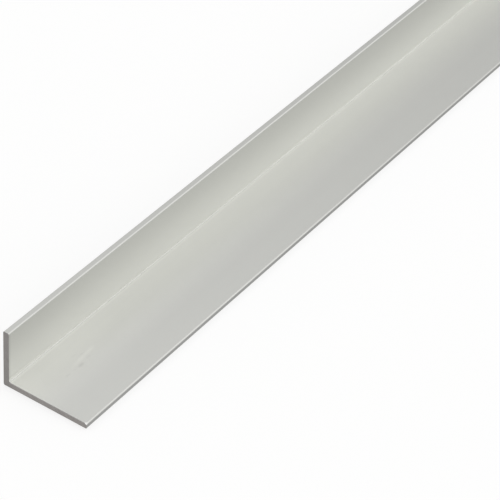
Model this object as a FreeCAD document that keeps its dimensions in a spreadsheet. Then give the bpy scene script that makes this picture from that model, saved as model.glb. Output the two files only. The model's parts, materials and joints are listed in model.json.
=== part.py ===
"""Unequal-leg aluminium angle, extruded as one piece and sawn square to a stock length.

The wide leg lies flat and the narrow leg stands up from its heel. The part's origin is
the middle of the rectangle that the angle covers on the floor: X runs across the wide leg
from the heel to the toe, Y runs along the stock and Z is up.
"""

import FreeCAD, Part
import enum
import math
import os

import Sketcher

NODE = "angle_section"
OUT_FOLDER = "parts"

# Driving dimensions, in millimetres
DIMENSIONS = {
    "stock_length": (1000.0, "length that the section is sold in, sawn at both ends"),
    "base_width": (30.0, "wide leg, from the outside of the heel to the toe"),
    "upright_height": (20.0, "narrow leg, from the underside of the heel to the toe"),
    "wall": (2.0, "thickness of both legs"),
    "heel_radius": (0.6, "outside corner, where the two legs meet"),
    "root_radius": (0.5, "inside corner, where the two legs meet"),
    "toe_radius": (0.4, "both arrises along the toe of each leg"),
    "end_break": (0.1, "width of the edge broken round each sawn end"),
}

# A toe keeps a flat between its two arrises, however thin the wall is
TOE_RADIUS_LIMIT = 0.45

# How closely the finished solid has to measure what the sheet says, in millimetres
MEASURE_TOLERANCE = 1e-3

# How squarely a sawn face has to look along the stock, in radians
SQUARE_TOLERANCE = 1e-6


class Axis(enum.IntEnum):
    """How a sketch constraint names the sketch's own axes, which start at its origin."""

    X = -1
    Y = -2


class Point(enum.IntEnum):
    """How a sketch constraint names the two ends of an edge or an axis."""

    START = 1
    END = 2


def add_sheet(doc):
    """The spreadsheet of driving dimensions: a name, a number and what it measures."""
    sheet = doc.addObject("Spreadsheet::Sheet", "Dimensions")
    for row, (alias, (value, meaning)) in enumerate(DIMENSIONS.items(), start=1):
        sheet.set(f"A{row}", alias)
        sheet.set(f"B{row}", str(value))
        sheet.set(f"C{row}", meaning)
        sheet.setAlias(f"B{row}", alias)
    doc.recompute()
    return sheet


def origin_plane(body, role):
    """One of a body's own three origin planes."""
    return next(item for item in body.Origin.OriginFeatures if item.Role == role)


def straight(x1, z1, x2, z2):
    """One flat of the section, drawn from its start to its end."""
    return Part.LineSegment(FreeCAD.Vector(x1, z1, 0), FreeCAD.Vector(x2, z2, 0))


def quarter(x, z, radius, degrees):
    """A quarter round about (x, z), drawn anticlockwise from an angle in degrees."""
    circle = Part.Circle(FreeCAD.Vector(x, z, 0), FreeCAD.Vector(0, 0, 1), radius)
    first = math.radians(degrees)
    return Part.ArcOfCircle(circle, first, first + math.pi / 2)


def section_outline(sheet):
    """The section's six flats and six rounds, anticlockwise, with the heel at the origin."""
    width = sheet.base_width
    height = sheet.upright_height
    wall = sheet.wall
    heel = sheet.heel_radius
    root = sheet.root_radius
    toe = min(sheet.toe_radius, TOE_RADIUS_LIMIT * wall)
    return {
        "underside": straight(heel, 0, width - toe, 0),
        "toe_low_arris": quarter(width - toe, toe, toe, 270),
        "toe_face": straight(width, toe, width, wall - toe),
        "toe_high_arris": quarter(width - toe, wall - toe, toe, 0),
        "base_inside": straight(width - toe, wall, wall + root, wall),
        "root_round": quarter(wall + root, wall + root, root, 180),
        "upright_inside": straight(wall, wall + root, wall, height - toe),
        "top_inner_arris": quarter(wall - toe, height - toe, toe, 0),
        "top_face": straight(wall - toe, height, toe, height),
        "top_outer_arris": quarter(toe, height - toe, toe, 90),
        "back": straight(0, height - toe, 0, heel),
        "heel_round": quarter(heel, heel, heel, 180),
    }


def join_tangent(sketch, index):
    """Joins each edge of the section to the next one, tangent, all the way round.

    The root is the one hollow round, so the outline runs backwards along its arc.
    """
    names = list(index)
    for name, following in zip(names, names[1:] + names[:1]):
        leave = Point.START if name == "root_round" else Point.END
        enter = Point.END if following == "root_round" else Point.START
        joint = Sketcher.Constraint("Tangent", index[name], leave, index[following], enter)
        sketch.addConstraint(joint)


def square_up(sketch, index):
    """Sets the flats square, the toe arrises alike, and the heel's two flats on the axes."""
    for name in ("base_inside", "top_face"):
        sketch.addConstraint(Sketcher.Constraint("Horizontal", index[name]))
    for name in ("toe_face", "upright_inside"):
        sketch.addConstraint(Sketcher.Constraint("Vertical", index[name]))
    for axis, name in ((Axis.X, "underside"), (Axis.Y, "back")):
        for point in Point:
            on_axis = Sketcher.Constraint("PointOnObject", index[name], point, axis)
            sketch.addConstraint(on_axis)
    for name in ("toe_high_arris", "top_inner_arris", "top_outer_arris"):
        alike = Sketcher.Constraint("Equal", index["toe_low_arris"], index[name])
        sketch.addConstraint(alike)


def bind_sizes(sketch, index, sheet):
    """Gives each size of the section a named constraint that reads its cell of the sheet."""

    def bind(name, kind, where, value, expression):
        """Adds a constraint and has it follow an expression."""
        number = sketch.addConstraint(Sketcher.Constraint(kind, *where, value))
        sketch.renameConstraint(number, name)
        sketch.setExpression(f"Constraints.{name}", expression)

    def from_heel(name, kind, edge, alias):
        """Sets how far an edge lies from the outside of the heel."""
        where = (Axis.X, Point.START, index[edge], Point.START)
        bind(name, kind, where, getattr(sheet, alias), f"Dimensions.{alias}")

    def radius(name, edge, expression):
        """Sets how round an arc is."""
        drawn = sketch.Geometry[index[edge]].Radius
        bind(name, "Radius", (index[edge],), drawn, expression)

    from_heel("base_width", "DistanceX", "toe_face", "base_width")
    from_heel("upright_height", "DistanceY", "top_face", "upright_height")
    from_heel("base_wall", "DistanceY", "base_inside", "wall")
    from_heel("upright_wall", "DistanceX", "upright_inside", "wall")
    toe_limit = f"{TOE_RADIUS_LIMIT} * Dimensions.wall"
    radius("heel_radius", "heel_round", "Dimensions.heel_radius")
    radius("root_radius", "root_round", "Dimensions.root_radius")
    radius("toe_radius", "toe_low_arris", f"min(Dimensions.toe_radius; {toe_limit})")


def add_section(body, sheet):
    """The fully constrained outline of the die that the angle is pressed through."""
    sketch = body.newObject("Sketcher::SketchObject", "Section")
    sketch.AttachmentSupport = [(origin_plane(body, "XZ_Plane"), "")]
    sketch.MapMode = "FlatFace"
    outline = section_outline(sheet)
    index = {name: sketch.addGeometry(edge, False) for name, edge in outline.items()}
    join_tangent(sketch, index)
    square_up(sketch, index)
    bind_sizes(sketch, index, sheet)
    return sketch


def sawn_faces(shape):
    """The names of the flat faces that look along the stock: its two sawn ends."""
    along = FreeCAD.Vector(0, 1, 0)
    names = []
    for number, face in enumerate(shape.Faces, start=1):
        flat = isinstance(face.Surface, Part.Plane)
        if flat and face.normalAt(0, 0).isParallel(along, SQUARE_TOLERANCE):
            names.append(f"Face{number}")
    return names


def add_angle(doc, sheet):
    """The angle: its section drawn out to length, both cuts deburred, set over the origin."""
    body = doc.addObject("PartDesign::Body", "Angle")
    body.Label = NODE
    section = add_section(body, sheet)

    extrusion = body.newObject("PartDesign::Pad", "Extrusion")
    extrusion.Profile = section
    extrusion.SideType = "Symmetric"
    extrusion.setExpression("Length", "Dimensions.stock_length")
    doc.recompute()

    deburr = body.newObject("PartDesign::Chamfer", "DeburredEnds")
    deburr.Base = (extrusion, sawn_faces(extrusion.Shape))
    deburr.setExpression("Size", "Dimensions.end_break")

    # The section is drawn from its heel, so the body moves back by half the wide leg
    body.setExpression("Placement.Base.x", "-Dimensions.base_width / 2")
    doc.recompute()
    return body


def check(doc, body, sheet):
    """Stops the build unless every feature holds and the solid measures what it should."""
    for item in doc.Objects:
        if "Invalid" in item.State or "Error" in item.State:
            raise RuntimeError(f"{item.Label} failed: {item.State}")
    section = doc.getObject("Section")
    if section.solve() != 0 or not section.FullyConstrained:
        raise RuntimeError("the section is not fully constrained")
    shape = body.Shape
    if shape.isNull() or not shape.isValid() or len(shape.Solids) != 1:
        raise RuntimeError(f"{body.Label} is not one valid solid")
    box = shape.BoundBox
    measured = FreeCAD.Vector(box.XLength, box.YLength, box.ZLength)
    wanted = FreeCAD.Vector(sheet.base_width, sheet.stock_length, sheet.upright_height)
    if not measured.isEqual(wanted, MEASURE_TOLERANCE):
        raise RuntimeError(f"{body.Label} measures {measured}, not {wanted}")
    print(f"{body.Label}: {measured}, volume {shape.Volume:.1f}")


def main():
    """Builds the document, checks it and writes the one node."""
    doc = FreeCAD.newDocument("MetalAngleSection")
    sheet = add_sheet(doc)
    body = add_angle(doc, sheet)
    check(doc, body, sheet)
    os.makedirs(OUT_FOLDER, exist_ok=True)
    body.Shape.exportStep(os.path.join(OUT_FOLDER, f"{body.Label}.step"))


main()
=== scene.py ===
"""Looks of one length of satin anodised aluminium angle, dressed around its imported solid.

The wide leg lies on the floor and the narrow leg stands up at its heel. X runs across the
wide leg, Y along the stock and Z up, all in metres.
"""

from __future__ import annotations

import json
import logging
import math
import random
from collections.abc import Callable, Iterable, Mapping
from dataclasses import dataclass, field
from enum import Enum

import bmesh
import bpy
from mathutils import Matrix, Vector


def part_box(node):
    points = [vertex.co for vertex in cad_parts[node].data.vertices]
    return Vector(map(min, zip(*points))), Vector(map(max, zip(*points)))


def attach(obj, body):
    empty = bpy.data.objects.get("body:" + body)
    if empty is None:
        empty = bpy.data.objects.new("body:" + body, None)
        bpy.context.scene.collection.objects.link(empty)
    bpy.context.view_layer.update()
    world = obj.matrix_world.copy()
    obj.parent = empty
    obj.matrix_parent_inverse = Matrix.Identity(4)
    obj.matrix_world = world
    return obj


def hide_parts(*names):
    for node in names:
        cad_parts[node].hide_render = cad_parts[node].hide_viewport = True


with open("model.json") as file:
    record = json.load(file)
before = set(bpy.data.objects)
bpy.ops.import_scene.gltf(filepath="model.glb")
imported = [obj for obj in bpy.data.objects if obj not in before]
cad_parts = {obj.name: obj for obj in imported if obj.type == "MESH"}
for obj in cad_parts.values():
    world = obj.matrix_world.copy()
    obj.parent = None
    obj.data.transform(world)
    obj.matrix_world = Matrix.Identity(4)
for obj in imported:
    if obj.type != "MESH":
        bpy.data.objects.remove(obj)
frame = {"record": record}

LOG = logging.getLogger("angle_section")

MM = 0.001
NODE = "angle_section"
BODY = "root"

# How closely a face looks along a direction, as the cosine between the two
SAME_WAY = 0.999
SQUARE_ON = 0.98
HALFWAY = 0.5
HARDLY = 0.05

# How far a round lies inside its sharp corner along each axis, as a share of its radius
CORNER_GAP = 1 - math.sqrt(0.5)

# What a noise texture varies about, and how strong its finer layers are
NOISE_MIDDLE = 0.5
NOISE_ROUGHNESS = 0.5

Triple = tuple[float, float, float]
Colour = tuple[float, float, float]
SocketValue = object


class Surface(Enum):
    """The finishes on the angle, in the order of its material slots."""

    ANODISED = 0
    ROOT = 1
    EDGE = 2
    SAWN = 3
    BARE = 4


class Axis(Enum):
    """The ways across the wide leg, along the stock and up the narrow leg."""

    ACROSS = "X"
    ALONG = "Y"
    UP = "Z"


@dataclass(frozen=True)
class Section:
    """Where the faces of the angle lie: its lowest and highest corner and its wall."""

    heel: Vector
    toe: Vector
    wall: float

    @property
    def inside(self) -> float:
        """Where the narrow leg's inner face lies across the wide leg."""
        return self.heel.x + self.wall

    @property
    def shelf(self) -> float:
        """How high the wide leg's inner face lies."""
        return self.heel.z + self.wall


@dataclass(frozen=True)
class Fade:
    """Where a mask is full and where it has faded out, both measured from one place."""

    full: float
    none: float


class Shade:
    """A socket that takes part in arithmetic. Each operator adds its Math node."""

    def __init__(self, bench: ShaderBench, socket: bpy.types.NodeSocket | None) -> None:
        """Wraps a socket of the bench's tree."""
        self.bench = bench
        self.socket = socket

    def _math(self, operation: str, first: Shade | float, second: Shade | float) -> Shade:
        """Adds one Math node.

        Args:
            operation: the Math node's operation.
            first: its upper input.
            second: its lower input.

        Returns:
            The node's result.
        """
        return self.bench.node("ShaderNodeMath", {"operation": operation}, {0: first, 1: second})

    def __add__(self, other: Shade | float) -> Shade:
        """self + other"""
        return self._math("ADD", self, other)

    __radd__ = __add__

    def __sub__(self, other: Shade | float) -> Shade:
        """self - other"""
        return self._math("SUBTRACT", self, other)

    def __rsub__(self, other: float) -> Shade:
        """other - self"""
        return self._math("SUBTRACT", other, self)

    def __mul__(self, other: Shade | float) -> Shade:
        """self * other"""
        return self._math("MULTIPLY", self, other)

    __rmul__ = __mul__

    def __pow__(self, other: float) -> Shade:
        """self to the power of other"""
        return self._math("POWER", self, other)

    def at_least(self, low: float) -> Shade:
        """The larger of self and low."""
        return self._math("MAXIMUM", self, low)


class ShaderBench:
    """A node tree that is being wired."""

    def __init__(self, tree: bpy.types.NodeTree) -> None:
        """Empties the tree, to wire it afresh."""
        tree.nodes.clear()
        self.tree = tree

    def node(
        self,
        kind: str,
        settings: Mapping[str, object] | None = None,
        inputs: Mapping[str | int, SocketValue] | None = None,
        output: str | int = 0,
    ) -> Shade:
        """Adds one node, sets it up and feeds its sockets.

        Args:
            kind: the node's type.
            settings: its own properties, which are set first.
            inputs: a value or a wrapped socket for each named or numbered socket.
            output: the output that is returned.

        Returns:
            The wrapped output, which is empty for a node that ends the tree.
        """
        node = self.tree.nodes.new(kind)
        for name, value in (settings or {}).items():
            setattr(node, name, value)
        for name, value in (inputs or {}).items():
            socket = self.find(node.inputs, name)
            if isinstance(value, Shade):
                self.tree.links.new(value.socket, socket)
            else:
                socket.default_value = value
        picked = self.find(node.outputs, output) if node.outputs else None
        return Shade(self, picked)

    @staticmethod
    def find(sockets: Iterable[bpy.types.NodeSocket], name: str | int) -> bpy.types.NodeSocket:
        """Finds a socket.

        Args:
            sockets: a node's inputs or outputs.
            name: the socket's number, identifier or name.

        Returns:
            The socket.
        """
        if isinstance(name, int):
            return sockets[name]
        for socket in sockets:
            if socket.identifier == name:
                return socket
        return sockets[name]

    def place(self) -> Shade:
        """Where a point lies on the piece, in metres."""
        return self.node("ShaderNodeTexCoord", output="Object")

    def axis(self, axis: Axis) -> Shade:
        """How far along one axis a point lies on the piece, in metres."""
        return self.node("ShaderNodeSeparateXYZ", {}, {0: self.place()}, axis.value)

    def mapped(self, size: Triple, centre: Triple = (0, 0, 0), turn: Triple = (0, 0, 0)) -> Shade:
        """The place on the piece, centred, turned and measured in a pattern's own units.

        Args:
            size: how long the pattern's unit is along each axis, in metres.
            centre: the point, in metres, that becomes the origin.
            turn: how far the pattern is turned about each axis, in radians.

        Returns:
            The mapped place.
        """
        settings = {"vector_type": "TEXTURE"}
        inputs = {"Vector": self.place(), "Location": centre, "Rotation": turn, "Scale": size}
        return self.node("ShaderNodeMapping", settings, inputs)

    def noise(self, place: Shade, detail: float = 2.0) -> Shade:
        """Soft noise about zero.

        Args:
            place: the mapped place that it varies over.
            detail: how many finer layers it has.

        Returns:
            The noise, from about -0.5 to 0.5.
        """
        inputs = {"Vector": place, "Scale": 1.0, "Detail": detail, "Roughness": NOISE_ROUGHNESS}
        return self.node("ShaderNodeTexNoise", {}, inputs, "Fac") - NOISE_MIDDLE

    def specks(self, size: float) -> Shade:
        """Noise of one size all round, in metres."""
        return self.noise(self.mapped((size, size, size)))

    def lines(self, pitch: float, length: float) -> Shade:
        """Noise that is drawn out along the stock, as the lines from a die are.

        Args:
            pitch: how far apart the lines are, in metres.
            length: how long they are.

        Returns:
            The noise.
        """
        return self.noise(self.mapped((pitch, length, pitch)))

    def fade(self, value: Shade, over: Fade, start: float = 0.0) -> Shade:
        """A smooth mask.

        Args:
            value: what the mask follows.
            over: where the mask is 1 and where it is 0.
            start: where both are measured from.

        Returns:
            The mask.
        """
        inputs = {"Value": value, "From Min": start + over.none, "From Max": start + over.full}
        return self.node("ShaderNodeMapRange", {"interpolation_type": "SMOOTHSTEP"}, inputs)

    def ramp(self, value: Shade, none: float, full: float) -> Shade:
        """A straight rise.

        Args:
            value: what the rise follows.
            none: where it is 0.
            full: where it is 1.

        Returns:
            The rise, from 0 to 1.
        """
        return self.node("ShaderNodeMapRange", {}, {"Value": value, "From Min": none, "From Max": full})

    def tinted(self, colour: Colour, tone: Shade) -> Shade:
        """A colour that is made lighter or darker over the surface.

        Args:
            colour: the plain colour.
            tone: what it is multiplied by, about 1.

        Returns:
            The colour.
        """
        vector = self.node("ShaderNodeCombineXYZ", {}, {0: tone, 1: tone, 2: tone})
        inputs = {0: vector, 1: colour}
        return self.node("ShaderNodeVectorMath", {"operation": "MULTIPLY"}, inputs)

    def relief(self, height: Shade, depth: float) -> Shade:
        """Turns a height over the surface into its slopes.

        Args:
            height: the height, about zero.
            depth: how high a height of 1 is, in metres.

        Returns:
            The bumped normal.
        """
        inputs = {"Height": height, "Distance": depth, "Strength": 1.0}
        return self.node("ShaderNodeBump", {}, inputs)

    def metal(self, inputs: Mapping[str, SocketValue]) -> None:
        """Ends the tree in a metal surface.

        Args:
            inputs: what feeds the surface's sockets.
        """
        surface = self.node("ShaderNodeBsdfPrincipled", {}, {"Metallic": 1.0, **inputs})
        self.node("ShaderNodeOutputMaterial", {}, {"Surface": surface})


def start_tree(owner: bpy.types.Material | bpy.types.World) -> ShaderBench:
    """Opens the node tree of a material or of the world.

    Args:
        owner: what the tree belongs to.

    Returns:
        The empty tree, on its bench.
    """
    owner.use_nodes = True
    return ShaderBench(owner.node_tree)


@dataclass(frozen=True)
class MarkOrPaintedPatch:
    """A faint mark on the wide leg's inside, which also serves for patches of painted light and shade,
    in millimetres from the heel and the seen end.
    """

    across: float
    along: float
    half_width: float
    half_length: float
    tone: float
    turn_deg: float = 0.0


# Short scuffs by the seen end, and two pale streaks beside them
RUB_MARKS = (
    MarkOrPaintedPatch(across=13.5, along=18.6, half_width=0.55, half_length=1.3, tone=-0.13, turn_deg=2.0),
    MarkOrPaintedPatch(across=13.35, along=12.7, half_width=0.45, half_length=1.1, tone=-0.055),
    MarkOrPaintedPatch(across=13.4, along=15.9, half_width=0.40, half_length=0.9, tone=-0.030),
    MarkOrPaintedPatch(across=10.6, along=22.6, half_width=0.35, half_length=0.9, tone=-0.045),
    MarkOrPaintedPatch(across=12.9, along=22.9, half_width=0.35, half_length=0.9, tone=-0.040),
    MarkOrPaintedPatch(across=9.4, along=20.4, half_width=0.35, half_length=1.2, tone=-0.030, turn_deg=-5.0),
    MarkOrPaintedPatch(across=11.75, along=21.2, half_width=0.60, half_length=4.2, tone=0.070, turn_deg=4.7),
    MarkOrPaintedPatch(across=11.3, along=25.8, half_width=0.70, half_length=2.2, tone=0.050, turn_deg=4.7),
)

# Patches too soft to have an edge: three of painted light at the seen end, and one of painted shade
# further on
PAINTED_LIGHT_AND_SHADE_PATCHES = (
    MarkOrPaintedPatch(across=7.5, along=0.0, half_width=8.0, half_length=6.0, tone=0.045),
    MarkOrPaintedPatch(across=6.5, along=0.0, half_width=7.0, half_length=30.0, tone=0.12),
    MarkOrPaintedPatch(across=17.0, along=0.0, half_width=6.0, half_length=45.0, tone=0.03),
    MarkOrPaintedPatch(across=13.0, along=230.0, half_width=6.0, half_length=120.0, tone=-0.045),
)


@dataclass(frozen=True)
class UprightTone:
    """Painted light and shade on the narrow leg's inner face: painted shade greys it towards its toe
    and darkens its top, painted light brightens the corner by the root, and it is darker near the seen
    end.
    """

    section: Section
    # Painted shade from the root up to the toe and on the top, and painted light in the corner by the
    # root
    painted_root_tone: float = -0.077
    toe_painted_shade: float = -0.207
    top_painted_shade: float = -0.040
    corner_painted_light: float = 0.12
    # Darker over the first 40 mm from the seen end, more so low down, and darker still within about a
    # millimetre of the cut
    lengthwise_tone: float = -0.055
    low_lengthwise_tone: float = -0.058
    at_cut_tone: float = -0.10
    # Up from the wide leg's inner face
    above_root: Fade = Fade(0.8 * MM, 0.0)
    corner: Fade = Fade(0.6 * MM, 1.3 * MM)
    # From the narrow leg's top
    below_top: Fade = Fade(-0.50 * MM, -0.25 * MM)
    top: Fade = Fade(-0.30 * MM, -0.40 * MM)
    # From the narrow leg's inner face, into its wall
    inner_half: Fade = Fade(-0.5 * MM, -1.0 * MM)
    # Along the stock from the seen end
    lengthwise: Fade = Fade(0.0, 40 * MM)
    at_cut: Fade = Fade(0.3 * MM, 1.1 * MM)
    # How far above the root the painted shade starts to turn the face greyer, and how far below the top
    # it stops
    root_gap: float = 0.5 * MM
    toe_gap: float = 0.6 * MM

    def wire(self, bench: ShaderBench) -> Shade:
        """Wires the tone.

        Args:
            bench: the tree that it is wired in.

        Returns:
            The tone, which is 1 off that face and off the narrow leg's top.
        """
        section = self.section
        height = bench.axis(Axis.UP)
        from_end = bench.axis(Axis.ALONG) - section.heel.y
        inner = bench.fade(bench.axis(Axis.ACROSS), self.inner_half, section.inside)
        rise = bench.fade(height, self.above_root, section.shelf)
        fall = bench.ramp(height, section.shelf + self.root_gap, section.toe.z - self.toe_gap)
        below = bench.fade(height, self.below_top, section.toe.z)
        top = bench.fade(height, self.top, section.toe.z)
        corner = bench.fade(height, self.corner, section.shelf) * rise
        lengthwise = bench.fade(from_end, self.lengthwise) * rise * (1 - corner)
        lengthwise = lengthwise * (self.lengthwise_tone + (1 - fall) * self.low_lengthwise_tone)
        at_cut = bench.fade(from_end, self.at_cut) * rise
        # Painted shade greys the face from the root up to its toe, and painted light lifts the corner
        # by the root
        tone = rise * self.painted_root_tone + fall * (self.toe_painted_shade - self.painted_root_tone)
        tone = tone + lengthwise + at_cut * self.at_cut_tone + corner * self.corner_painted_light
        # Painted shade also darkens the narrow leg's top
        return 1 + tone * below * inner + top * self.top_painted_shade


@dataclass(frozen=True)
class ShelfTone:
    """Painted light and shade on the wide leg's inner face: painted light towards the root and in its
    corner, and painted shade that dims the highlight on its arris, more so further along.
    """

    section: Section
    # Painted light towards the root and in the corner, painted shade on the arris
    painted_root_tone: float = 0.26
    corner_painted_light: float = 0.055
    arris_painted_shade: float = -0.045
    far_shade_tone: float = -0.085
    # Across from the narrow leg's inner face
    by_root: Fade = Fade(3.5 * MM, 20 * MM)
    corner: Fade = Fade(0.5 * MM, 1.3 * MM)
    off_heel: Fade = Fade(0.0, -0.4 * MM)
    # Across from the toe
    arris: Fade = Fade(-0.1 * MM, -0.4 * MM)
    # Up from the wide leg's inner face
    level: Fade = Fade(0.01 * MM, 0.2 * MM)
    above_floor: Fade = Fade(-0.4 * MM, -1.6 * MM)
    # Along the stock from the seen end
    by_cut: Fade = Fade(0.0, 20 * MM)
    # Over this stretch the painted shade on the arris grows
    far_shade_from: float = 70 * MM
    far_shade_to: float = 190 * MM

    def wire(self, bench: ShaderBench) -> Shade:
        """Wires the tone.

        Args:
            bench: the tree that it is wired in.

        Returns:
            The tone, which is 1 off that face and its arris.
        """
        section = self.section
        across = bench.axis(Axis.ACROSS)
        height = bench.axis(Axis.UP)
        from_end = bench.axis(Axis.ALONG) - section.heel.y
        root = bench.fade(across, self.by_root, section.inside)
        corner = bench.fade(across, self.corner, section.inside)
        corner = corner * (1 - bench.fade(from_end, self.by_cut))
        level = bench.fade(height, self.level, section.shelf)
        arris = bench.fade(across, self.arris, section.toe.x)
        # Painted shade that dims the arris's highlight further along
        far_shade = bench.ramp(from_end, self.far_shade_from, self.far_shade_to) * self.far_shade_tone
        tone = (root * self.painted_root_tone + corner * self.corner_painted_light) * level
        tone = tone + arris * (self.arris_painted_shade + far_shade)
        above_floor = bench.fade(height, self.above_floor, section.shelf)
        off_heel = bench.fade(across, self.off_heel, section.inside)
        return 1 + tone * above_floor * off_heel


@dataclass(frozen=True)
class AnodisedFinish:
    """Satin anodising over the fine lines that the die leaves along the stock."""

    section: Section
    colour: Colour = (0.68, 0.6835, 0.654)
    roughness: float = 0.32
    line_pitch: float = 0.35 * MM
    line_length: float = 120 * MM
    line_tone: float = 0.03
    line_depth: float = 0.0006 * MM
    line_roughness: float = 0.05
    band_pitch: float = 3.0 * MM
    band_tone: float = 0.010
    cloud_size: float = 9.0 * MM
    cloud_tone: float = 0.012
    grain_size: float = 0.12 * MM
    grain_depth: float = 0.0008 * MM
    # Real rub marks, then the patches of painted light and shade
    marks: tuple[MarkOrPaintedPatch, ...] = RUB_MARKS + PAINTED_LIGHT_AND_SHADE_PATCHES
    # From a mark's middle, where its half width and half length are 1
    mark_edge: Fade = Fade(0.0, 1.6)
    mark_height: float = 1.0 * MM

    def material(self) -> bpy.types.Material:
        """Wires the finish.

        Returns:
            The material.
        """
        material = bpy.data.materials.new("satin_anodised")
        bench = start_tree(material)
        lines = bench.lines(self.line_pitch, self.line_length)
        bands = bench.lines(self.band_pitch, self.line_length)
        clouds = bench.specks(self.cloud_size)
        grain = bench.specks(self.grain_size)
        tone = 1 + lines * self.line_tone + bands * self.band_tone + clouds * self.cloud_tone
        # Painted light and shade on both inner faces and on the narrow leg's top
        tone = tone * UprightTone(self.section).wire(bench) * ShelfTone(self.section).wire(bench)
        for mark in self.marks:
            tone = tone * (1 + self.mark_or_patch_mask(bench, mark) * mark.tone)
        # Both reliefs go through one Bump node, as their sum in millimetres
        relief = lines * (self.line_depth / MM) + grain * (self.grain_depth / MM)
        bench.metal(
            {
                "Base Color": bench.tinted(self.colour, tone),
                "Roughness": self.roughness + lines * self.line_roughness,
                "Normal": bench.relief(relief, MM),
            }
        )
        return material

    def mark_or_patch_mask(self, bench: ShaderBench, mark: MarkOrPaintedPatch) -> Shade:
        """The mask of one rub mark, or of one patch of painted light and shade.

        Args:
            bench: the tree that it is wired in.
            mark: the mark.

        Returns:
            The mask, 1 in the middle of the mark.
        """
        centre = self.section.heel + Vector((mark.across * MM, mark.along * MM, self.section.wall))
        size = (mark.half_width * MM, mark.half_length * MM, self.mark_height)
        turn = (0.0, 0.0, math.radians(mark.turn_deg))
        place = bench.mapped(size, tuple(centre), turn)
        reach = bench.node("ShaderNodeVectorMath", {"operation": "LENGTH"}, {0: place}, "Value")
        return bench.fade(reach, self.mark_edge)


@dataclass(frozen=True)
class RootFinish:
    """The hollow round where the legs meet, which the die leaves duller than the flats, with a painted
    highlight: paler than the anodising, most of all on its upper and lower parts.
    """

    section: Section
    # Painted highlight: paler than the anodising's colour
    colour: Colour = (0.775, 0.779, 0.743)
    roughness: float = 0.65
    upper_painted_highlight: float = 0.12
    lower_painted_highlight: float = 0.04
    line_pitch: float = 0.2 * MM
    line_length: float = 60 * MM
    line_tone: float = 0.05
    # Up from the wide leg's inner face
    upper: Fade = Fade(0.30 * MM, 0.10 * MM)
    lower: Fade = Fade(0.025 * MM, 0.125 * MM)

    def material(self) -> bpy.types.Material:
        """Wires the finish.

        Returns:
            The material.
        """
        material = bpy.data.materials.new("root_corner")
        bench = start_tree(material)
        lines = bench.lines(self.line_pitch, self.line_length)
        height = bench.axis(Axis.UP)
        # Painted highlight on the round's upper and lower parts
        upper = bench.fade(height, self.upper, self.section.shelf) * self.upper_painted_highlight
        lower = bench.fade(height, self.lower, self.section.shelf) * self.lower_painted_highlight
        tone = (1 + lines * self.line_tone) * (1 + (upper + lower))
        bench.metal({"Base Color": bench.tinted(self.colour, tone), "Roughness": self.roughness})
        return material


@dataclass(frozen=True)
class EdgeFinish:
    """The narrow toe face, dull, with painted shade: far darker than the anodising, and darker still
    further along.
    """

    section: Section
    # Painted shade: far darker than the anodising's colour
    colour: Colour = (0.345, 0.345, 0.335)
    roughness: float = 0.45
    line_pitch: float = 0.3 * MM
    line_length: float = 60 * MM
    line_tone: float = 0.06
    end_tone: float = 0.055
    lengthwise_reach: float = 190 * MM
    lengthwise_tone: float = -0.11

    def material(self) -> bpy.types.Material:
        """Wires the finish.

        Returns:
            The material.
        """
        material = bpy.data.materials.new("toe_face")
        bench = start_tree(material)
        lines = bench.lines(self.line_pitch, self.line_length)
        from_end = bench.axis(Axis.ALONG) - self.section.heel.y
        # Painted shade that darkens the face further along the stock
        lengthwise = bench.ramp(from_end, 0.0, self.lengthwise_reach)
        tone = 1 + self.end_tone + lines * self.line_tone + lengthwise * self.lengthwise_tone
        bench.metal({"Base Color": bench.tinted(self.colour, tone), "Roughness": self.roughness})
        return material


@dataclass(frozen=True)
class SawnFinish:
    """Bare metal as the saw leaves it, dull and torn along the blade's path, darkened by painted shade
    and lightened near the floor by painted light.
    """

    section: Section
    path_deg: float
    # Painted shade: darker than sawn metal is
    colour: Colour = (0.298, 0.282, 0.272)
    roughness: float = 0.55
    tear_pitch: float = 0.45 * MM
    tear_length: float = 6.0 * MM
    tear_detail: float = 3.0
    tear_tone: float = 0.45
    tear_depth: float = 0.004 * MM
    fleck_size: float = 0.5 * MM
    fleck_tone: float = 0.36
    fleck_roughness: float = 0.1
    low_painted_light: float = 0.16
    # Up and across from the outside of the heel
    low: Fade = Fade(1.6 * MM, 3.2 * MM)
    off_heel: Fade = Fade(4.5 * MM, 1.5 * MM)

    def material(self) -> bpy.types.Material:
        """Wires the finish.

        Returns:
            The material.
        """
        material = bpy.data.materials.new("sawn_end")
        bench = start_tree(material)
        turn = (0.0, math.radians(self.path_deg), 0.0)
        size = (self.tear_length, self.tear_pitch, self.tear_pitch)
        tears = bench.noise(bench.mapped(size, turn=turn), self.tear_detail)
        flecks = bench.specks(self.fleck_size)
        # Painted light: lighter near the floor, away from the heel's outside
        low = bench.fade(bench.axis(Axis.UP), self.low, self.section.heel.z)
        low = low * bench.fade(bench.axis(Axis.ACROSS), self.off_heel, self.section.heel.x)
        tone = (1 + tears * self.tear_tone + flecks * self.fleck_tone) * (1 + low * self.low_painted_light)
        bench.metal(
            {
                "Base Color": bench.tinted(self.colour, tone),
                "Roughness": self.roughness + flecks * self.fleck_roughness,
                "Normal": bench.relief(tears, self.tear_depth),
            }
        )
        return material


@dataclass(frozen=True)
class BareFinish:
    """Bare bright metal, where the file has broken an edge or a knock has turned a corner."""

    colour: Colour = (0.88, 0.88, 0.86)
    roughness: float = 0.25
    scratch_pitch: float = 0.15 * MM
    scratch_depth: float = 0.0008 * MM
    scratch_roughness: float = 0.1

    def material(self) -> bpy.types.Material:
        """Wires the finish.

        Returns:
            The material.
        """
        material = bpy.data.materials.new("broken_edge")
        bench = start_tree(material)
        scratches = bench.specks(self.scratch_pitch)
        bench.metal(
            {
                "Base Color": (*self.colour, 1.0),
                "Roughness": self.roughness + scratches * self.scratch_roughness,
                "Normal": bench.relief(scratches, self.scratch_depth),
            }
        )
        return material


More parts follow.
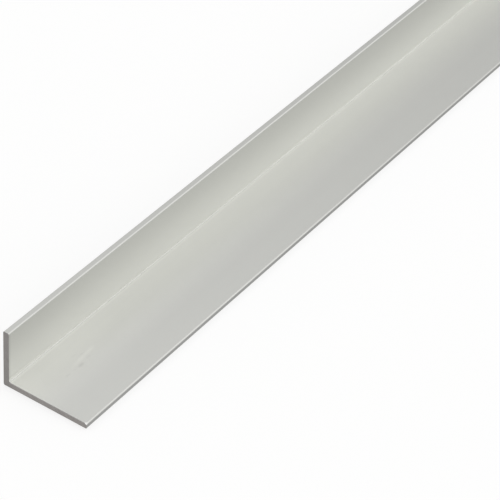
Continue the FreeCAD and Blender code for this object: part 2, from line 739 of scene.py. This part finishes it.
class MeshEdit:
    """A mesh in edit mode, with ways to select its faces and edges by where they are."""

    def __init__(self, piece: bpy.types.Object) -> None:
        """Takes the piece that is edited."""
        self.piece = piece

    def __enter__(self) -> MeshEdit:
        """Goes into edit mode with nothing else selected.

        Returns:
            The mesh, to be edited.
        """
        bpy.ops.object.select_all(action="DESELECT")
        self.piece.select_set(True)
        bpy.context.view_layer.objects.active = self.piece
        bpy.ops.object.mode_set(mode="EDIT")
        return self

    def __exit__(self, *reason: object) -> None:
        """Goes back to object mode."""
        bpy.ops.object.mode_set(mode="OBJECT")

    def everything(self) -> None:
        """Selects the whole mesh."""
        bpy.ops.mesh.select_mode(type="VERT")
        bpy.ops.mesh.select_all(action="SELECT")

    def faces(self, wanted: Callable[[Vector, Vector], bool]) -> int:
        """Selects faces.

        Args:
            wanted: says yes to a face's middle and its normal.

        Returns:
            How many faces are selected.
        """
        bpy.ops.mesh.select_mode(type="FACE")
        return self._select("faces", lambda f: wanted(f.calc_center_median(), f.normal))

    def faces_at(self, wanted: Callable[[Vector], bool]) -> None:
        """Selects faces by the places of their corners."""
        bpy.ops.mesh.select_mode(type="FACE")
        self._select("faces", lambda f: any(wanted(v.co) for v in f.verts))

    def edges(self, wanted: Callable[[Vector], bool]) -> None:
        """Selects edges by the places of their middles."""
        bpy.ops.mesh.select_mode(type="EDGE")
        self._select("edges", lambda e: wanted((e.verts[0].co + e.verts[1].co) / 2))

    def points(self, wanted: Callable[[Vector], bool]) -> None:
        """Selects points by their places."""
        bpy.ops.mesh.select_mode(type="VERT")
        self._select("verts", lambda v: wanted(v.co))

    def _select(self, parts: str, wanted: Callable[[object], bool]) -> int:
        """Selects what is wanted among one kind of the mesh's parts.

        Args:
            parts: faces, edges or verts.
            wanted: says yes to a part.

        Returns:
            How many parts are selected.
        """
        bpy.ops.mesh.select_all(action="DESELECT")
        mesh = bmesh.from_edit_mesh(self.piece.data)
        chosen = [part for part in getattr(mesh, parts) if wanted(part)]
        for part in chosen:
            part.select_set(True)
        mesh.select_flush_mode()
        bmesh.update_edit_mesh(self.piece.data)
        return len(chosen)


@dataclass(frozen=True)
class SawMarks:
    """The furrows that a saw leaves across a cut end."""

    pitch: float = 0.45 * MM
    path_deg: float = 52.0
    depths: tuple[float, ...] = (0.0, 0.006 * MM, 0.012 * MM, 0.02 * MM)
    unevenness: float = 0.3
    seed: int = 7

    @property
    def across(self) -> Vector:
        """The direction across the furrows, in the plane of the cut."""
        turn = math.radians(self.path_deg)
        return Vector((-math.sin(turn), 0.0, math.cos(turn)))

    def lines(self, low: float, high: float) -> list[tuple[float, float]]:
        """Where the furrows run, and how deep each is.

        Args:
            low: where the first line may be, measured across the furrows.
            high: where the last line may be.

        Returns:
            The place and the depth of each line.
        """
        chance = random.Random(self.seed)
        count = int((high - low) / self.pitch)
        return [
            (
                low + (number + chance.uniform(-1, 1) * self.unevenness) * self.pitch,
                chance.choice(self.depths),
            )
            for number in range(1, count)
        ]


@dataclass(frozen=True)
class AngleSection:
    """The angle: a slab with one side raised, its edges rounded and its ends sawn."""

    section: Section
    heel_radius: float = 0.6 * MM
    root_radius: float = 0.5 * MM
    toe_radius: float = 0.4 * MM
    end_break: float = 0.1 * MM
    round_steps: int = 8
    saw: SawMarks = SawMarks()
    nick_size: float = 0.26 * MM
    nick_reach: float = 2.0 * MM
    nick_normal: Vector = field(default_factory=lambda: Vector((0.46, -0.44, 0.77)).normalized())
    # How close counts as on the spot, for what is selected and for what is cut
    touching: float = 0.001 * MM
    cut_slack: float = 0.0001 * MM
    level_deg: float = 1.0
    smooth_deg: float = 25.0
    flat_weight: int = 100

    @classmethod
    def from_frame(cls, record: Mapping[str, object]) -> AngleSection:
        """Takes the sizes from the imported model.

        Args:
            record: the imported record, whose mount on the wide leg gives the wall.

        Returns:
            The angle, not built yet.
        """
        low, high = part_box(NODE)
        mounts = {mount["name"]: mount for mount in record["mounts"]}
        wall = mounts["base_inner_face"]["pos_m"][2] - low.z
        return cls(Section(heel=low, toe=high, wall=wall))

    def build(self) -> bpy.types.Object:
        """Models the angle.

        Returns:
            The finished piece, with its place in its mesh.
        """
        piece = self.slab()
        with MeshEdit(piece) as edit:
            self.raise_upright(edit)
            self.round_edges(edit)
            self.break_ends(edit)
            self.saw_end(edit, self.section.heel.y, inward=1)
            self.saw_end(edit, self.section.toe.y, inward=-1)
            self.knock_corner(edit)
            bpy.ops.mesh.select_all(action="DESELECT")
        self.smooth(piece)
        return piece

    def slab(self) -> bpy.types.Object:
        """Adds the wide leg as a plain slab.

        Returns:
            The piece.
        """
        bpy.ops.object.select_all(action="DESELECT")
        heel = self.section.heel
        top = Vector((self.section.toe.x, self.section.toe.y, self.section.shelf))
        bpy.ops.mesh.primitive_cube_add(size=1.0, location=(heel + top) / 2, scale=top - heel)
        piece = bpy.context.object
        piece.name = "finished_angle"
        bpy.ops.object.transform_apply(location=True, rotation=True, scale=True)
        return piece

    def raise_upright(self, edit: MeshEdit) -> None:
        """Draws the narrow leg up from a strip along the slab's heel.

        Args:
            edit: the slab's mesh.
        """
        inside = self.section.inside
        edit.everything()
        bpy.ops.mesh.bisect(plane_co=(inside, 0, 0), plane_no=(1, 0, 0), threshold=self.cut_slack)
        edit.faces(lambda middle, normal: normal.z > SQUARE_ON and middle.x < inside)
        rise = (0, 0, self.section.toe.z - self.section.shelf)
        bpy.ops.mesh.extrude_region_move(TRANSFORM_OT_translate={"value": rise})
        edit.everything()
        bpy.ops.mesh.dissolve_limited(angle_limit=math.radians(self.level_deg))

    def round_edges(self, edit: MeshEdit) -> None:
        """Rounds the heel, the root and both arrises of each toe.

        Args:
            edit: the mesh of the sharp angle.
        """
        heel, toe = self.section.heel, self.section.toe
        inside, shelf = self.section.inside, self.section.shelf
        corners = {
            (heel.x, heel.z): self.heel_radius,
            (inside, shelf): self.root_radius,
            (toe.x, heel.z): self.toe_radius,
            (toe.x, shelf): self.toe_radius,
            (heel.x, toe.z): self.toe_radius,
            (inside, toe.z): self.toe_radius,
        }
        for corner, radius in corners.items():
            edit.edges(lambda middle: math.dist((middle.x, middle.z), corner) < self.touching)
            self.bevel(radius, self.round_steps)

    def break_ends(self, edit: MeshEdit) -> None:
        """Breaks the edge all round each sawn end.

        Args:
            edit: the mesh of the rounded angle.
        """
        ends = (self.section.heel.y, self.section.toe.y)
        edit.edges(lambda middle: min(abs(middle.y - end) for end in ends) < self.touching)
        self.bevel(self.end_break, 1)

    @staticmethod
    def bevel(width: float, steps: int) -> None:
        """Bevels the selected edges.

        Args:
            width: how far the bevel reaches on each side of an edge, in metres.
            steps: how many faces it is made of.
        """
        bpy.ops.mesh.bevel(
            offset=width,
            offset_type="OFFSET",
            segments=steps,
            affect="EDGES",
            clamp_overlap=False,
        )

    def saw_end(self, edit: MeshEdit, end: float, inward: int) -> None:
        """Cuts the furrows into one end, and presses each in by its depth.

        Args:
            edit: the mesh.
            end: where the end is along the stock.
            inward: 1 where the stock lies further along than the end, and -1 otherwise.
        """
        across = self.saw.across
        heel, toe = self.section.heel, self.section.toe
        reach = [Vector((x, end, z)).dot(across) for x in (heel.x, toe.x) for z in (heel.z, toe.z)]
        marks = self.saw.lines(min(reach), max(reach))

        def on_cut(middle: Vector, normal: Vector) -> bool:
            """Whether a face is part of the cut."""
            return abs(middle.y - end) < self.touching and abs(normal.y) > SQUARE_ON

        for place, _ in marks:
            edit.faces(on_cut)
            bpy.ops.mesh.bisect(plane_co=across * place, plane_no=across, threshold=self.cut_slack)
        for depth in sorted({depth for _, depth in marks if depth}):
            places = [place for place, its_depth in marks if its_depth == depth]

            def in_furrow(point: Vector) -> bool:
                """Whether a point of the cut lies on a furrow of this depth."""
                aside = min(abs(point.dot(across) - furrow) for furrow in places)
                return max(abs(point.y - end), aside) < self.touching

            edit.points(in_furrow)
            bpy.ops.transform.translate(value=(0, inward * depth, 0))

    def knock_corner(self, edit: MeshEdit) -> None:
        """Turns the toe's upper corner at the seen end, where a knock has left a bright flat.

        Args:
            edit: the mesh of the sawn angle.
        """
        heel, toe = self.section.heel, self.section.toe
        corner = Vector((toe.x, heel.y, self.section.shelf))
        rounded = corner + Vector((-1, 0, -1)) * self.toe_radius * CORNER_GAP
        edit.faces_at(lambda point: (point - corner).length < self.nick_reach)
        bpy.ops.mesh.bisect(
            plane_co=rounded - self.nick_normal * self.nick_size,
            plane_no=self.nick_normal,
            use_fill=True,
            clear_outer=True,
            threshold=self.cut_slack,
        )

    def smooth(self, piece: bpy.types.Object) -> None:
        """Shades the rounds smooth and keeps the flats flat.

        Args:
            piece: the modelled angle.
        """
        bpy.ops.object.shade_smooth_by_angle(angle=math.radians(self.smooth_deg))
        flats = piece.modifiers.new("flat_faces", "WEIGHTED_NORMAL")
        flats.weight = self.flat_weight
        flats.keep_sharp = True
        bpy.ops.object.modifier_apply(modifier=flats.name)

    def dress(self, piece: bpy.types.Object) -> None:
        """Gives each face its finish.

        Args:
            piece: the built angle.
        """
        finishes = {
            Surface.ANODISED: AnodisedFinish(self.section),
            Surface.ROOT: RootFinish(self.section),
            Surface.EDGE: EdgeFinish(self.section),
            Surface.SAWN: SawnFinish(self.section, self.saw.path_deg),
            Surface.BARE: BareFinish(),
        }
        for surface in Surface:
            piece.data.materials.append(finishes[surface].material())
        # The broken edges lean along the stock too, so the bare metal comes after the sawn
        choices = {
            Surface.ROOT: self.on_root,
            Surface.EDGE: self.on_toe_face,
            Surface.SAWN: lambda middle, normal: abs(normal.y) > HALFWAY,
            Surface.BARE: self.on_bare_metal,
        }
        with MeshEdit(piece) as edit:
            for surface, wanted in choices.items():
                count = edit.faces(wanted)
                piece.active_material_index = surface.value
                bpy.ops.object.material_slot_assign()
                LOG.info("%s: %d faces", surface.name.lower(), count)

    def on_root(self, middle: Vector, normal: Vector) -> bool:
        """Whether a face is part of the hollow round.

        Args:
            middle: the face's middle.
            normal: where it looks.

        Returns:
            Whether it is.
        """
        hollow = min(normal.x, normal.z) > HARDLY > abs(normal.y)
        off_corner = max(middle.x - self.section.inside, middle.z - self.section.shelf)
        return hollow and off_corner < self.root_radius

    def on_toe_face(self, middle: Vector, normal: Vector) -> bool:
        """Whether a face is the narrow face along the wide leg's toe."""
        return normal.x > SQUARE_ON and middle.x > self.section.toe.x - self.touching

    def on_bare_metal(self, middle: Vector, normal: Vector) -> bool:
        """Whether a face is on the wide leg's broken upper edges or the knocked corner."""
        broken = min(normal.z, abs(normal.y)) > HALFWAY and middle.z < self.section.shelf
        return broken or normal.dot(self.nick_normal) > SAME_WAY


@dataclass(frozen=True)
class SoftLight:
    """A broad, soft patch of light in the studio's sky."""

    azimuth_deg: float
    elevation_deg: float
    strength: float
    tightness: float

    @property
    def towards(self) -> Vector:
        """The direction of the patch's middle.

        Returns:
            The direction, where azimuth 0 is +Y and 90 is +X.
        """
        azimuth = math.radians(self.azimuth_deg)
        elevation = math.radians(self.elevation_deg)
        level = math.cos(elevation)
        return Vector((math.sin(azimuth) * level, math.cos(azimuth) * level, math.sin(elevation)))


@dataclass(frozen=True)
class Studio:
    """A plain white floor under a soft, pale sky."""

    floor_size: float = 60.0
    floor_drop: float = 0.02 * MM
    floor_colour: Colour = (0.92, 0.92, 0.915)
    floor_shade: float = 0.33
    floor_glow: float = 0.723
    sky: float = 0.26
    lights: tuple[SoftLight, ...] = (
        SoftLight(azimuth_deg=0, elevation_deg=90, strength=0.62, tightness=3.0),
        SoftLight(azimuth_deg=0, elevation_deg=35, strength=0.18, tightness=5.0),
        SoftLight(azimuth_deg=45, elevation_deg=5, strength=0.44, tightness=7.0),
        SoftLight(azimuth_deg=45, elevation_deg=35, strength=1.06, tightness=5.0),
        SoftLight(azimuth_deg=135, elevation_deg=35, strength=0.80, tightness=5.0),
        SoftLight(azimuth_deg=220, elevation_deg=35, strength=0.26, tightness=5.0),
        SoftLight(azimuth_deg=270, elevation_deg=35, strength=0.68, tightness=5.0),
        SoftLight(azimuth_deg=300, elevation_deg=50, strength=0.15, tightness=5.0),
        SoftLight(azimuth_deg=315, elevation_deg=35, strength=0.26, tightness=5.0),
    )

    def build(self) -> None:
        """Lays the floor and lights the sky."""
        self.lay_floor()
        self.light_sky()

    def lay_floor(self) -> None:
        """Lays the floor just under the angle."""
        bpy.ops.object.select_all(action="DESELECT")
        bpy.ops.mesh.primitive_plane_add(size=self.floor_size, location=(0, 0, -self.floor_drop))
        floor = bpy.context.object
        floor.name = "studio_floor"
        floor.data.materials.append(self.floor_paint())
        LOG.info("%s: %g m across", floor.name, self.floor_size)

    def floor_paint(self) -> bpy.types.Material:
        """Wires the floor's white, which looks whiter than it is and still takes a shadow.

        Returns:
            The material.
        """
        material = bpy.data.materials.new("white_floor")
        bench = start_tree(material)
        paint = bench.node("ShaderNodeBsdfDiffuse", {}, {"Color": (*self.floor_colour, 1.0)})
        thin = tuple(self.floor_shade * share for share in self.floor_colour)
        shaded = bench.node("ShaderNodeBsdfDiffuse", {}, {"Color": (*thin, 1.0)})
        glow = bench.node("ShaderNodeEmission", {}, {"Strength": self.floor_glow})
        white = bench.node("ShaderNodeAddShader", {}, {0: shaded, 1: glow})
        camera = bench.node("ShaderNodeLightPath", output="Is Camera Ray")
        glossy = bench.node("ShaderNodeLightPath", output="Is Glossy Ray")
        through = bench.node("ShaderNodeLightPath", output="Is Transmission Ray")
        inputs = {0: camera + glossy + through, 1: paint, 2: white}
        surface = bench.node("ShaderNodeMixShader", {}, inputs)
        bench.node("ShaderNodeOutputMaterial", {}, {"Surface": surface})
        return material

    def light_sky(self) -> None:
        """Fills the sky with pale light and its soft patches."""
        world = bpy.data.worlds.new("studio_sky")
        bpy.context.scene.world = world
        bench = start_tree(world)
        towards = bench.node("ShaderNodeTexCoord", output="Generated")
        total = self.sky
        for light in self.lights:
            total = self.patch(bench, towards, light) + total
        background = bench.node("ShaderNodeBackground", {}, {"Strength": total})
        bench.node("ShaderNodeOutputWorld", {}, {"Surface": background})
        LOG.info("%s: %d soft lights", world.name, len(self.lights))

    def patch(self, bench: ShaderBench, towards: Shade, light: SoftLight) -> Shade:
        """Lights one soft patch of the sky.

        Args:
            bench: the sky's tree.
            towards: the direction that is looked at.
            light: the patch.

        Returns:
            The light that the patch adds.
        """
        inputs = {0: towards, 1: tuple(light.towards)}
        facing = bench.node("ShaderNodeVectorMath", {"operation": "DOT_PRODUCT"}, inputs, "Value")
        return facing.at_least(0.0) ** light.tightness * light.strength


@dataclass(frozen=True)
class PhotoCamera:
    """The photograph's camera, placed by where the outside of the heel shows at the seen end."""

    azimuth_deg: float = 31.805
    elevation_deg: float = 38.481
    roll_deg: float = 4.485
    distance: float = 0.63745
    pixels_per_metre: float = 3498.0
    heel_pixel: tuple[float, float] = (3.46, 384.41)
    frame_pixels: float = 500.0
    sensor_mm: float = 36.0
    clip_start: float = 0.01

    def build(self, heel: Vector) -> None:
        """Sets up the camera.

        Args:
            heel: the lowest point of the heel at the seen end.
        """
        right, up, back = self.axes()
        middle = self.frame_pixels / 2
        heel_right = (self.heel_pixel[0] - middle) / self.pixels_per_metre
        heel_up = (middle - self.heel_pixel[1]) / self.pixels_per_metre
        place = heel - right * heel_right - up * heel_up + back * self.distance
        focal_pixels = self.pixels_per_metre * self.distance
        data = bpy.data.cameras.new("photo_camera")
        data.sensor_width = self.sensor_mm
        data.lens = self.sensor_mm * focal_pixels / self.frame_pixels
        data.clip_start = self.clip_start
        camera = bpy.data.objects.new("photo_camera", data)
        turn = Matrix((right, up, back)).transposed()
        camera.matrix_world = Matrix.Translation(place) @ turn.to_4x4()
        bpy.context.scene.collection.objects.link(camera)
        bpy.context.scene.camera = camera
        LOG.info("%s: lens of %.1f mm", camera.name, data.lens)

    def axes(self) -> tuple[Vector, Vector, Vector]:
        """Works out how the camera is turned.

        Returns:
            The directions of its right, its top and its back.
        """
        azimuth = math.radians(self.azimuth_deg)
        elevation = math.radians(self.elevation_deg)
        roll = math.radians(self.roll_deg)
        level = math.cos(elevation)
        back = Vector((math.sin(azimuth) * level, -math.cos(azimuth) * level, math.sin(elevation)))
        right = Vector((math.cos(azimuth), math.sin(azimuth), 0.0))
        up = back.cross(right)
        rolled_right = right * math.cos(roll) + up * math.sin(roll)
        rolled_up = up * math.cos(roll) - right * math.sin(roll)
        return rolled_right, rolled_up, back


def main() -> None:
    """Builds the angle, its studio and its camera."""
    logging.basicConfig(level=logging.INFO, format="%(name)s: %(message)s")
    bpy.context.scene.view_settings.view_transform = "Standard"
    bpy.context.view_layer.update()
    angle = AngleSection.from_frame(frame["record"])
    piece = angle.build()
    angle.dress(piece)
    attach(piece, BODY)
    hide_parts(NODE)
    LOG.info("%s: %d faces", piece.name, len(piece.data.polygons))
    Studio().build()
    PhotoCamera().build(angle.section.heel)


if __name__ == "__main__":
    main()
